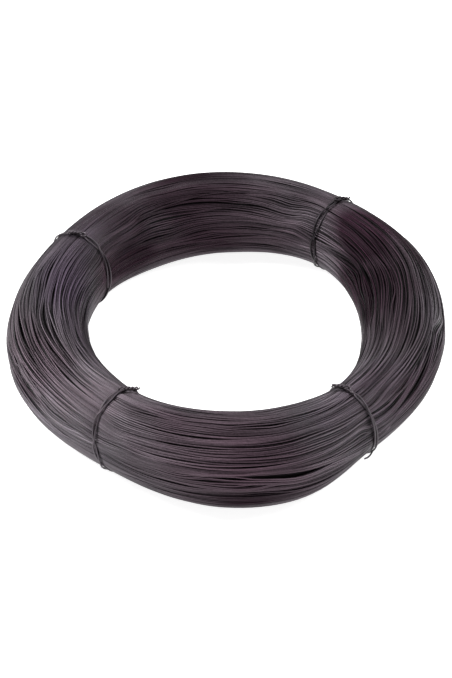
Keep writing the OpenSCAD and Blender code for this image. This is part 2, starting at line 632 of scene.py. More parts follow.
    def skin(self, bundle: Bundle) -> Skin:
        """The whole tie.

        Args:
            bundle: The bundle that it holds.

        Returns:
            Its wires, each a closed rod.
        """
        origin = np.zeros((1, 3))
        knot = self.on(bundle, origin)[0]
        axes = [unit(self.on(bundle, origin + step * MM)[0] - knot)
                for step in np.eye(3)]
        head = math.radians(self.heading)
        beside = math.cos(head) * axes[0] - math.sin(head) * axes[1]
        rods = []
        for hand in (1, -1):
            strand = np.vstack([self.rise(hand), self.strand(bundle, hand)])
            line = self.on(bundle, strand)
            turn = np.arctan2(line[:, 1], line[:, 0])
            side = np.stack([-np.sin(turn), np.cos(turn), np.zeros_like(turn)], axis=1)
            rods.append(self.wire(line, side))
            rods.append(self.wire(self.twisted_end(bundle, hand), beside))
        eye = self.on(bundle, through(self.eye(), self.eye_rings))
        rods.append(self.wire(eye, axes[2]))
        rods += [self.loose_rod(bundle, end) for end in self.loose]
        tie = joined(rods)
        tie.values["tone"] = np.full(len(tie.points), self.tone)
        return tie

    def loose_rod(self, bundle: Bundle, end: LooseEnd) -> Skin:
        """A loose end, bent away from the tie and standing off at its tip.

        Args:
            bundle: The bundle.
            end: Where it is and which way it runs.

        Returns:
            Its closed rod.
        """
        head = math.radians(end.heading)
        way = (end.place - self.knot) * self.girth(bundle)
        t = np.linspace(0, 1, end.keys)[:, None]
        keys = np.array([way, 0, self.seat]) + np.hstack([
            t * end.length * math.sin(head),
            t * end.length * math.cos(head),
            WIRE_R + end.rise * np.sin(t * math.pi * end.curl),
        ])
        line = self.on(bundle, through(keys, end.rings))
        spine = bundle.spine(np.array([self.bearing]))[0]
        across = unit(np.cross(line[-1] - line[0], line[0] - spine))
        return self.wire(line, across)


# --- The turns of wire ---


@dataclass(frozen=True)
class Ripple:
    """A smooth uneven field over the bundle: a sum of seeded waves.

    Each wave is sin(2 pi k place + m bearing + phase), with k between fewest and most
    waves round the section and m up to along waves round the coil.
    """

    size: float
    fewest: int
    most: int
    along: int
    seed: int
    waves: int = 24

    def at(self, place: Array, bearing: Array) -> Array:
        """Value of the field.

        Args:
            place: Share of the way round the section.
            bearing: Bearing in degrees.

        Returns:
            The field, whose spread is about the size.
        """
        rng = np.random.default_rng(self.seed)
        around = rng.integers(self.fewest, self.most + 1, self.waves)
        along = rng.integers(-self.along, self.along + 1, self.waves)
        phase = rng.uniform(0, TAU, self.waves)
        total = sum(
            np.sin(TAU * k * place + m * np.radians(bearing) + start)
            for k, m, start in zip(around, along, phase)
        )
        return self.size * math.sqrt(2 / self.waves) * total


@dataclass(frozen=True)
class Parting:
    """A long narrow gap between turns, open in the middle and closed at both ends.

    keys are points of its line, each a bearing and a share of the way round the
    section, in order of rising bearing. Turns within swing of it, as a share too, run
    along its line; with no swing it follows the turns. A bold one stays open at a tie.
    """

    keys: tuple[tuple[float, float], ...]
    width: float
    swing: float = 0.0
    bold: bool = False
    reach: float = 9.0 * MM
    shoulder: float = 0.6 * MM
    fade: float = 11.0
    steps: int = 8
    dip: float = 0.3
    dip_reach: float = 4.0

    @property
    def guides(self) -> bool:
        """Whether the turns beside it run along its line."""
        return self.swing > 0

    @property
    def half(self) -> float:
        """Half its length, in degrees."""
        return (self.keys[-1][0] - self.keys[0][0]) / 2

    @property
    def rest(self) -> float:
        """Place of its turns where they lie freely: the mean of its keys."""
        return sum(place for _, place in self.keys) / len(self.keys)

    def along(self, bearing: Array) -> Array:
        """Share t of the gap's half length, from -1 to 1 within it."""
        return turn_between(bearing, self.keys[0][0] + self.half) / self.half

    def opening(self, bearing: Array) -> Array:
        """How far the gap is open: 1 - t^2 for t from -1 to 1 along it."""
        return np.clip(1 - self.along(bearing) ** 2, 0, None)

    def line(self, bearing: Array) -> Array:
        """Place of the gap's line, level beyond its two ends.

        Args:
            bearing: Bearing in degrees.

        Returns:
            The place at each bearing, as a share of the way round.
        """
        path = through(np.array(self.keys), self.steps * len(self.keys))
        way = self.keys[0][0] + self.half * (1 + self.along(bearing))
        return np.interp(way, path[:, 0], path[:, 1])

    def guide(self, place: Array, bearing: Array) -> tuple[Array, Array]:
        """How far the line swings from its rest, and how strongly each turn follows.

        The weight is exp(-((place - rest) / swing)^2), and eases to nothing beyond the
        gap's ends.

        Args:
            place: Share of the way round the section.
            bearing: Bearing in degrees.

        Returns:
            The swing, as a share of the way round, and the weight.
        """
        off = way_between(place, self.rest)
        past = (np.abs(self.along(bearing)) - 1) * self.half / self.fade
        weight = np.exp(-((off / self.swing) ** 2)) * (1 - smooth(past))
        return self.line(bearing) - self.rest, weight

    def off(self, place: Array, bearing: Array) -> Array:
        """Share of the section from the gap's line to each place."""
        return way_between(place, self.line(bearing))

    def push(self, way: Array, bearing: Array, share: float) -> tuple[Array, Array]:
        """Moves the turns apart and rounds the gap's two shoulders.

        The move is width / 2 * tanh(way / shoulder) * exp(-|way| / reach), and the
        extra depth dip * width * exp(-(way / (dip_reach * shoulder))^2).

        Args:
            way: Signed distance of each turn from the gap's middle line.
            bearing: Bearing in degrees.
            share: Share of the full width, less for a deeper layer.

        Returns:
            Sideways move and extra depth, in metres.
        """
        open_by = self.opening(bearing) * self.width * share
        near = np.exp(-np.abs(way) / self.reach)
        move = open_by / 2 * np.tanh(way / self.shoulder) * near
        sunk = np.exp(-((way / (self.dip_reach * self.shoulder)) ** 2))
        return move, self.dip * open_by * sunk


@dataclass(frozen=True)
class Patch:
    """A stretch of surface painted darker, partly for a heavier oxide film and partly
    as painted shade, or only one of another hue.

    spread and height are how far it fades, in degrees and in shares of the way round.
    film is how much darker it is at its middle, painted shade included, and tint how
    far it turns to plum or, below zero, to lilac.
    """

    bearing: float
    place: float
    spread: float
    height: float
    film: float
    tint: float = 0.0

    def bell(self, place: Array, bearing: Array) -> Array:
        """Its bell over the bundle: exp(-(turn / spread)^2 - (off / height)^2)."""
        turn = turn_between(bearing, self.bearing) / self.spread
        return np.exp(-(turn**2) - (way_between(place, self.place) / self.height) ** 2)


def coats(patches: tuple[Patch, ...], place: Array, bearing: Array) -> dict[str, Array]:
    """Film, which carries painted shade too, and tint over the bundle, each the sum of
    all the patches' bells.
    """
    felt = [(patch, patch.bell(place, bearing)) for patch in patches]
    return {key: sum(getattr(patch, key) * share for patch, share in felt)
            for key in ("film", "tint")}


@dataclass(frozen=True)
class Stray:
    """A stretch of wire that crosses the turns at a slant, on top of them.

    It starts and ends at these bearings, moves from one share of the way round the
    section to another, and dives under the surface at both ends.
    """

    start: float
    end: float
    place_from: float
    place_to: float
    over: float = 0.15 * MM
    dive: float = 3.2 * MM
    steep: int = 8
    rings: int = 72
    sides: int = 6

    def skin(self, bundle: Bundle, patches: tuple[Patch, ...], tone: float) -> Skin:
        """The wire: its depth is dive * t^steep - over for t from -1 to 1 along it.

        Args:
            bundle: The bundle that it lies on.
            patches: The bundle's patches of heavier film and painted shade.
            tone: How much lighter or darker than the rest it is.

        Returns:
            Its closed rod.
        """
        t = np.linspace(-1, 1, self.rings)
        bearing = self.start + (self.end - self.start) * (t + 1) / 2
        shift = self.place_to - self.place_from
        place = self.place_from + shift * smooth((t + 1) / 2)
        line = bundle.point(place, bearing, self.dive * t**self.steep - self.over)
        skin = rod(line, line - bundle.spine(bearing), WIRE_R, self.sides)
        skin.values["tone"] = np.full(len(skin.points), tone)
        for key, coat in coats(patches, place, bearing).items():
            skin.values[key] = np.repeat(coat, self.sides)
        return skin


@dataclass(frozen=True)
class Layer:
    """One layer of turns: how many, how deep, how dark and how each turn is drawn. Its
    tone is painted shade, darker for deeper layers that less light reaches.

    skip is how many stations it goes on at a time, and gap_share how far the partings
    open in it.
    """

    name: str
    turns: int
    depth: float
    sides: int
    skip: int
    gap_share: float
    tone: float
    seed: int


@dataclass(frozen=True)
class PaintedContrast:
    """A stretch where each turn differs more in tone from its two neighbours, or less:
    painted light and shade across the turns, stronger on the sides where side light
    shades each turn more.

    more is how much, 0 being as elsewhere, and spread the angle over which it fades.
    """

    bearing: float
    more: float
    spread: float


@dataclass(frozen=True)
class Winding:
    """All the turns that can be seen, layer by layer, over a core painted dark as
    shade.

    uneven is how far a turn may start from its even place, in turns. The own_ values
    are each turn's typical wander sideways, in depth and in tone, made of own_count
    waves, and the most that each makes round the coil. tone_seed is added to a
    layer's seed for its tones. Near a tie the stations are closer and the turns are
    held by the share held. bite is how far a tie presses them in.
    """

    bundle: Bundle
    ties: tuple[Tie, ...]
    partings: tuple[Parting, ...]
    patches: tuple[Patch, ...]
    stations: int = 216
    closer: float = 2.5
    closer_angle: float = 5.0
    fine_stations: int = 3601
    uneven: float = 0.08
    core_depth: float = 6.5 * MM
    core_steps: tuple[int, int] = (72, 216)
    # core_painted_shade darkens the core further: painted shade, as little light
    # reaches it.
    core_painted_shade: float = -2.0
    own_sway: float = 0.45 * MM
    own_sway_waves: int = 9
    own_depth: float = 0.30 * MM
    own_depth_waves: int = 7
    own_tone: float = 0.65
    own_tone_waves: int = 14
    own_count: int = 5
    tone_seed: int = 100
    # Painted light and shade: stretches where neighbouring turns differ more or less in
    # tone.
    painted_contrasts: tuple[PaintedContrast, ...] = (
        PaintedContrast(345, 1.1, 44), PaintedContrast(38, 0.6, 26), PaintedContrast(190, 0.6, 25),
        PaintedContrast(100, -0.6, 42), PaintedContrast(262, -0.4, 28),
    )
    bite: float = 0.6 * MM
    bite_angle: float = 1.5
    held: float = 0.85
    held_angle: float = 13.0
    sway: tuple[Ripple, ...] = (
        Ripple(0.75 * MM, 1, 4, 4, seed=11),
        Ripple(0.35 * MM, 5, 12, 6, seed=12),
    )
    relief: tuple[Ripple, ...] = (
        Ripple(0.30 * MM, 3, 9, 3, seed=21),
        Ripple(0.22 * MM, 12, 26, 6, seed=22),
    )

    def bearings(self) -> Array:
        """Stations round the coil, more than three times as close beside a tie.

        The density is 1 + closer * bell at each tie, and the stations are equal steps
        of its running sum.

        Returns:
            Bearings in degrees, rising from 0 to just under 360.
        """
        fine = np.linspace(0, 360, self.fine_stations)
        density = np.ones_like(fine)
        for tie in self.ties:
            density += self.closer * bell(fine, tie.bearing, self.closer_angle)
        way = np.concatenate([[0], np.cumsum(density[:-1])])
        return np.interp(np.arange(self.stations) / self.stations, way / way[-1], fine)

    def calm(self, bearing: Array) -> Array:
        """How freely the turns lie: 1 - held at a tie, rising to 1 away from it."""
        near = [bell(bearing, tie.bearing, self.held_angle) for tie in self.ties]
        return 1 - self.held * np.max(near, axis=0)

    def painted_contrast(self, bearing: Array) -> Array:
        """How much more than elsewhere neighbours differ in tone, as painted light and
        shade, 0 being as usual.
        """
        return sum(m.more * bell(bearing, m.bearing, m.spread) for m in self.painted_contrasts)

    def own(self, rng: np.random.Generator, turns: int, bearing: Array,
            size: float, most: int) -> Array:
        """A wander of its own for each turn: a few seeded waves round the coil.

        Args:
            rng: Source of the waves.
            turns: Number of turns.
            bearing: Bearing of each station, in degrees.
            size: Typical size of the wander, in the unit it is to have.
            most: Most waves round the coil.

        Returns:
            Values shaped (turns, stations).
        """
        shape = (turns, self.own_count, 1)
        m = rng.integers(2, most + 1, shape)
        phase = rng.uniform(0, TAU, shape)
        waves = np.sin(m * np.radians(bearing)[None, None] + phase)
        return size * math.sqrt(2 / self.own_count) * waves.sum(1)

    def lines(self, layer: Layer) -> tuple[Array, Array, Array, Array]:
        """Centre lines of a layer's turns.

        Each turn keeps its place round the section, moved by the shared sway and its
        own wander, by the lines of the partings beside it (their swings, averaged by
        weight) and then by every parting's opening. Its depth comes from the relief,
        its own wander and the bite of the ties.

        Args:
            layer: The layer.

        Returns:
            Points shaped (turns, stations, 3), their places, the turns' own places and
            the bearings.
        """
        rng = np.random.default_rng(layer.seed)
        bearing = self.bearings()[:: layer.skip]
        uneven = rng.uniform(-self.uneven, self.uneven, layer.turns)
        label = (np.arange(layer.turns) + uneven) / layer.turns
        place, at = np.meshgrid(label, bearing, indexing="ij")
        girth = self.bundle.girth(at)
        calm = self.calm(at)
        own = self.own(rng, layer.turns, bearing, self.own_sway, self.own_sway_waves)
        free = place + calm * (own + sum(r.at(place, at) for r in self.sway)) / girth
        swings = [gap.guide(free, at) for gap in self.partings if gap.guides]
        total = sum(weight for _, weight in swings)
        swung = sum(swing * weight for swing, weight in swings)
        place = free + swung / np.maximum(total, 1)
        move = np.zeros_like(at)
        depth = layer.depth + calm * sum(r.at(free, at) for r in self.relief)
        own = self.own(rng, layer.turns, bearing, self.own_depth, self.own_depth_waves)
        depth += np.abs(own)
        for gap in self.partings:
            way = gap.off(place if gap.guides else free, at) * girth
            apart, dip = gap.push(way, at, layer.gap_share)
            free_by = 1.0 if gap.bold else calm
            move += free_by * apart
            depth += free_by * dip
        place = place + move / girth
        for tie in self.ties:
            depth += self.bite * bell(at, tie.bearing_at(place), self.bite_angle)
        return self.bundle.point(place, at, depth), place, label, bearing

    def tones(self, layer: Layer, bearing: Array) -> Array:
        """How light or dark each turn is at each station.

        Each turn has a seeded tone and a wander about it, whose sum is held within
        twice own_tone. What it differs from the mean of its two neighbours is then
        stretched by the painted contrasts, painted light and shade. The layer's tone,
        painted shade for the deeper layers, is added.

        Args:
            layer: The layer.
            bearing: Bearing of each station, in degrees.

        Returns:
            Tones shaped (turns, stations).
        """
        rng = np.random.default_rng(layer.seed + self.tone_seed)
        tone = rng.normal(0, self.own_tone, layer.turns)[:, None] + self.own(
            rng, layer.turns, bearing, self.own_tone, self.own_tone_waves
        )
        tone = np.clip(tone, -2 * self.own_tone, 2 * self.own_tone)
        apart = tone - (np.roll(tone, 1, 0) + np.roll(tone, -1, 0)) / 2
        return layer.tone + tone + apart * self.painted_contrast(bearing)

    def skins(self, layer: Layer) -> dict[Face, Skin]:
        """The layer's turns, drawn as round wire and parted by face.

        Args:
            layer: The layer.

        Returns:
            A skin for each face of the bundle.
        """
        points, place, label, bearing = self.lines(layer)
        spine = self.bundle.spine(bearing)[None]
        rings = tube_rings(points, points - spine, WIRE_R, layer.sides, True)
        values = {
            "tone": self.tones(layer, bearing),
            **coats(self.patches, place, bearing[None]),
        }
        quarter = np.floor(label * len(Face) + 0.5).astype(int) % len(Face)
        made = {}
        for face in Face:
            mine = quarter == face.value
            shape = (int(mine.sum()), len(bearing), layer.sides)
            made[face] = Skin(
                rings[mine].reshape(-1, 3),
                ring_quads(*shape, True),
                {key: np.broadcast_to(value[mine][:, :, None], shape)
                 for key, value in values.items()},
            )
        return made

    def core(self) -> Skin:
        """The mass of turns inside, as one smooth ring under the layers, painted dark
        as shade.

        Returns:
            Its closed skin.
        """
        around, along = self.core_steps
        place, at = np.meshgrid(
            np.arange(around) / around, np.arange(along) / along * 360, indexing="ij"
        )
        points = self.bundle.point(place, at, np.full_like(at, self.core_depth))
        points = np.swapaxes(points, 0, 1).reshape(-1, 3)
        return Skin(
            points,
            ring_quads(1, along, around, True)[:, ::-1],
            {"tone": np.full(len(points), self.core_painted_shade)},
        )


# --- Finishes ---


class Nodes:
    """A small helper that adds nodes to a tree and links them by name."""

    def __init__(self, tree: bpy.types.NodeTree) -> None:
        """Takes the tree and clears it."""
        self.tree = tree
        tree.nodes.clear()

    @classmethod
    def of(cls, owner: bpy.types.Material | bpy.types.World) -> "Nodes":
        """The nodes of a material or world, which uses them from now on."""
        owner.use_nodes = True
        return cls(owner.node_tree)

    def add(self, kind: str, settings: dict[str, object] | None = None,
            **inputs: object) -> bpy.types.Node:
        """Adds a node, sets its properties and fills its inputs.

        Args:
            kind: Blender's type of the node.
            settings: Properties of the node.
            **inputs: Values or output sockets for inputs, an underscore standing for
                a space in a name, and n0, n1 for inputs by number.

        Returns:
            The node.
        """
        node = self.tree.nodes.new(kind)
        for key, value in (settings or {}).items():
            setattr(node, key, value)
        for key, value in inputs.items():
            numbered = key[0] == "n" and key[1:].isdigit()
            socket = node.inputs[int(key[1:]) if numbered else key.replace("_", " ")]
            if isinstance(value, bpy.types.NodeSocket):
                self.tree.links.new(value, socket)
            else:
                socket.default_value = value
        return node

    def maths(self, operation: str, first: object, second: object) -> object:
        """Output of a Math node with two inputs."""
        return self.add(
            "ShaderNodeMath", {"operation": operation}, n0=first, n1=second
        ).outputs[0]

    def blend(self, share: object, first: object, second: object) -> object:
        """Output of a colour mix from the first colour to the second."""
        return self.add(
            "ShaderNodeMix", {"data_type": "RGBA"}, n0=share, n6=first, n7=second
        ).outputs[2]

    def noise(self, where: object, scale: float, detail: float = 3.0,
              roughness: float = 0.6) -> object:
        """Output of a noise texture, about 0.5 in the middle."""
        return self.add(
            "ShaderNodeTexNoise", Vector=where, Scale=scale, Detail=detail,
            Roughness=roughness,
        ).outputs["Fac"]

    def span(self, value: object, low: float = 0.0, high: float = 1.0,
             to_low: float = 0.0, to_high: float = 1.0) -> object:
        """Output of a clamped straight-line change of range."""
        return self.add(
            "ShaderNodeMapRange", Value=value, From_Min=low, From_Max=high,
            To_Min=to_low, To_Max=to_high,
        ).outputs[0]

    def uneven(self, where: object, scale: float, width: float,
               reach: float) -> object:
        """Noise from -reach to reach, where it lies within width of its middle."""
        noise = self.noise(where, scale)
        return self.span(noise, 0.5 - width, 0.5 + width, -reach, reach)

    def seen(self) -> object:
        """1 for rays that show a thing itself, mirrored or through glass, or else 0."""
        rays = self.add("ShaderNodeLightPath").outputs
        return self.maths(
            "MAXIMUM",
            self.maths("MAXIMUM", rays["Is Camera Ray"], rays["Is Glossy Ray"]),
            rays["Is Transmission Ray"],
        )


def colour(rgb: tuple[float, ...]) -> tuple[float, ...]:
    """A colour with full alpha."""
    return (*rgb, 1.0)


@dataclass(frozen=True)
class OxideFilm:
    """The oxide film that every wire wears, uneven in clouds, flecks and a fine grain.

    A scale is in waves to the metre. A width is how far from its middle the noise
    still counts, and a reach how much it changes: film and tint for the clouds, tone
    and, by fleck_rough, roughness for the flecks.
    """

    cloud_scale: float = 14.0
    cloud_width: float = 0.15
    cloud_reach: float = 0.12
    fleck_scale: float = 620.0
    fleck_width: float = 0.2
    fleck_reach: float = 0.6
    fleck_rough: float = 0.12
    grain_scale: float = 1400.0

    def group(self) -> bpy.types.NodeTree:
        """The film as a node group.

        It is grey, with a tint above zero plum and below zero lilac, and a heavier
        film, which also carries painted shade, turns it towards a dark violet brown.
        Each turn is lighter or darker by its tone, times the contrast; the tone of the
        deeper layers and the core is painted shade.

        Returns:
            The group, whose sockets are the names in the loop below.
        """
        group = bpy.data.node_groups.new("oxide_film", "ShaderNodeTree")
        for way, kind, names in (
            ("INPUT", "NodeSocketColor", ("Grey", "Plum", "Lilac", "Violet")),
            ("INPUT", "NodeSocketFloat", ("Tone", "Film", "Tint", "Contrast", "Rough")),
            ("OUTPUT", "NodeSocketColor", ("Color",)),
            ("OUTPUT", "NodeSocketFloat", ("Roughness", "Height")),
        ):
            for name in names:
                group.interface.new_socket(name, in_out=way, socket_type=kind)
        n = Nodes(group)
        given = n.add("NodeGroupInput").outputs
        where = n.add("ShaderNodeTexCoord").outputs["Object"]
        clouds = n.uneven(where, self.cloud_scale, self.cloud_width, self.cloud_reach)
        film = n.span(n.maths("ADD", given["Film"], clouds))
        hue = n.maths("ADD", given["Tint"], clouds)
        warm = n.blend(n.span(hue), given["Grey"], given["Plum"])
        clean = n.blend(n.span(hue, -1.0, 0.0, 1.0, 0.0), warm, given["Lilac"])
        tinted = n.blend(film, clean, given["Violet"])
        flecks = n.uneven(where, self.fleck_scale, self.fleck_width, self.fleck_reach)
        change = n.maths("ADD", given["Tone"], flecks)
        gain = n.maths("ADD", 1.0, n.maths("MULTIPLY", change, given["Contrast"]))
        shaded = n.add(
            "ShaderNodeVectorMath", {"operation": "SCALE"}, Vector=tinted, Scale=gain
        ).outputs[0]
        rough = n.maths("MULTIPLY", flecks, self.fleck_rough)
        n.add(
            "NodeGroupOutput", Color=shaded,
            Roughness=n.maths("ADD", given["Rough"], rough),
            Height=n.noise(where, self.grain_scale, 2.0),
        )
        return group


@dataclass(frozen=True)
class WireFinish:
    """Annealed steel wire with its dark oxide film; the inner turns' copy is painted
    dark as shade.
    """

    name: str
    grey: Triple
    plum: Triple
    lilac: Triple
    violet: Triple
    contrast: float
    rough: float
    metallic: float
    bump: float
    grain: float = 0.05 * MM

    def make(self, film: bpy.types.NodeTree) -> bpy.types.Material:
        """Builds the material.

        Args:
            film: The oxide film's node group.

        Returns:
            The material.
        """
        material = bpy.data.materials.new(self.name)
        n = Nodes.of(material)
        own = {
            name.title(): n.add("ShaderNodeAttribute", {"attribute_name": name})
            .outputs["Fac"]
            for name in ("tone", "film", "tint")
        }
        coat = n.add(
            "ShaderNodeGroup", {"node_tree": film}, Grey=colour(self.grey),
            Plum=colour(self.plum), Lilac=colour(self.lilac),
            Violet=colour(self.violet), Contrast=self.contrast, Rough=self.rough, **own,
        ).outputs
        bump = n.add(
            "ShaderNodeBump", Strength=self.bump, Distance=self.grain,
            Height=coat["Height"],
        ).outputs[0]
        shader = n.add(
            "ShaderNodeBsdfPrincipled", Base_Color=coat["Color"],
            Roughness=coat["Roughness"], Metallic=self.metallic, Normal=bump,
        )
        n.add("ShaderNodeOutputMaterial", Surface=shader.outputs[0])
        return material


# violet is the dark violet brown of a heavier film, which carries painted shade as
# well.
ANNEALED = WireFinish(
    "annealed_wire", (0.0775, 0.0680, 0.0765), (0.082, 0.0510, 0.067),
    (0.077, 0.056, 0.083), (0.0120, 0.0042, 0.0084),
    contrast=0.40, rough=0.43, metallic=0.9, bump=0.15,
)
# The inner turns: the same wire painted near black and matt, as painted shade where
# little light reaches.
SHADED_INSIDE = WireFinish(
    "inner_wire_painted_shade", (0.016, 0.010, 0.013), (0.015, 0.008, 0.012),
    (0.014, 0.009, 0.015), (0.013, 0.007, 0.010),
    contrast=0.2, rough=0.6, metallic=0.3, bump=0.0,
)
TIED = WireFinish(
    "tie_wire", (0.066, 0.056, 0.064), (0.080, 0.062, 0.072),
    (0.078, 0.066, 0.082), (0.042, 0.030, 0.036),
    contrast=0.2, rough=0.4, metallic=0.9, bump=0.15,
)


# --- The studio ---


@dataclass(frozen=True)
class Lamp:
    """A soft square lamp, aimed at the coil."""

    name: str
    azimuth: float
    elevation: float
    distance: float
    size: float
    power: float

    def light(self, target: Array) -> None:
        """Puts the lamp up.

        Args:
            target: Point that it is aimed at.
        """
        data = bpy.data.lights.new(self.name, "AREA")
        data.energy, data.size, data.shape = self.power, self.size, "SQUARE"
        lamp = bpy.data.objects.new(self.name, data)
        aim(lamp, target, self.azimuth, self.elevation, self.distance)


def aim(thing: bpy.types.Object, target: Array, azimuth: float, elevation: float,
        distance: float) -> None:
    """Puts a lamp or camera on a sphere round a target and turns it to face it.

    Args:
        thing: The lamp or camera.
        target: The sphere's middle.
        azimuth: Bearing of the thing from the target, in degrees.
        elevation: Height over the horizon, in degrees.
        distance: Radius of the sphere.
    """
    a, e = math.radians(azimuth), math.radians(elevation)
    away = np.array([math.cos(a) * math.cos(e), math.sin(a) * math.cos(e), math.sin(e)])
    thing.location = target + distance * away
    thing.rotation_euler = (math.pi / 2 - e, 0, a + math.pi / 2)
    bpy.context.scene.collection.objects.link(thing)


@dataclass(frozen=True)
class Studio:
    """White floor and backdrop, soft lamps and the camera."""

    target: Triple
    lamps: tuple[Lamp, ...] = (
        Lamp("left_key", 172, 50, 1.6, 0.8, 34.0),
        Lamp("right_fill", 5, 48, 1.6, 0.8, 16.5),
    )
    ambient: float = 0.27
    floor_size: float = 8.0
    floor_white: float = 0.8
    floor_glow: float = 0.86
    azimuth: float = -90.0
    elevation: float = 43.97
    distance: float = 1.767
    lens: float = 146.1
    sensor: float = 36.0
    far: float = 20.0
    shift: tuple[float, float] = (-0.00265, -0.0271)

    def world(self) -> None:
        """White where it is seen or mirrored, and a grey soft light elsewhere."""
        world = bpy.data.worlds.new("studio")
        n = Nodes.of(world)
        shade = n.blend(n.seen(), colour((self.ambient,) * 3), colour(WHITE))
        back = n.add("ShaderNodeBackground", Color=shade, Strength=1.0)
        n.add("ShaderNodeOutputWorld", Surface=back.outputs[0])
        bpy.context.scene.world = world

    def floor(self) -> None:
        """A wide white floor that keeps a faint shadow of the coil."""
        material = bpy.data.materials.new("white_floor")
        n = Nodes.of(material)
        matt = n.add("ShaderNodeBsdfDiffuse", Color=colour((self.floor_white,) * 3))
        glow = n.add(
            "ShaderNodeEmission", Color=colour(WHITE),
            Strength=n.maths("MULTIPLY", n.seen(), self.floor_glow),
        )
        both = n.add("ShaderNodeAddShader", n0=matt.outputs[0], n1=glow.outputs[0])
        n.add("ShaderNodeOutputMaterial", Surface=both.outputs[0])
        corners = np.array([[-1, -1, 0], [1, -1, 0], [1, 1, 0], [-1, 1, 0]])
        square = Skin(corners * self.floor_size / 2, np.array([[0, 1, 2, 3]]))
        floor = square.build("floor", material)

    def camera(self) -> None:
        """A long lens that looks down at the coil from the front."""
        data = bpy.data.cameras.new("camera")
        data.sensor_fit, data.sensor_width = "HORIZONTAL", self.sensor
        data.lens, data.clip_end = self.lens, self.far
        data.shift_x, data.shift_y = self.shift
        camera = bpy.data.objects.new("camera", data)
        target = np.array(self.target)
        aim(camera, target, self.azimuth, self.elevation, self.distance)
        bpy.context.scene.camera = camera

    def build(self) -> None:
        """Puts up the whole studio."""
        self.world()
        self.floor()
        self.camera()
        for lamp in self.lamps:
            lamp.light(np.array(self.target))
        bpy.context.scene.view_settings.view_transform = "Standard"


# --- The coil ---


def parting(width: float, places: dict[int, int], swing: int = 20,
            bold: bool = False) -> Parting:
    """A parting from its width in mm, and its places and swing in thousandths."""
    keys = tuple((bearing, share / 1000) for bearing, share in places.items())
    return Parting(keys, width * MM, swing / 1000, bold)


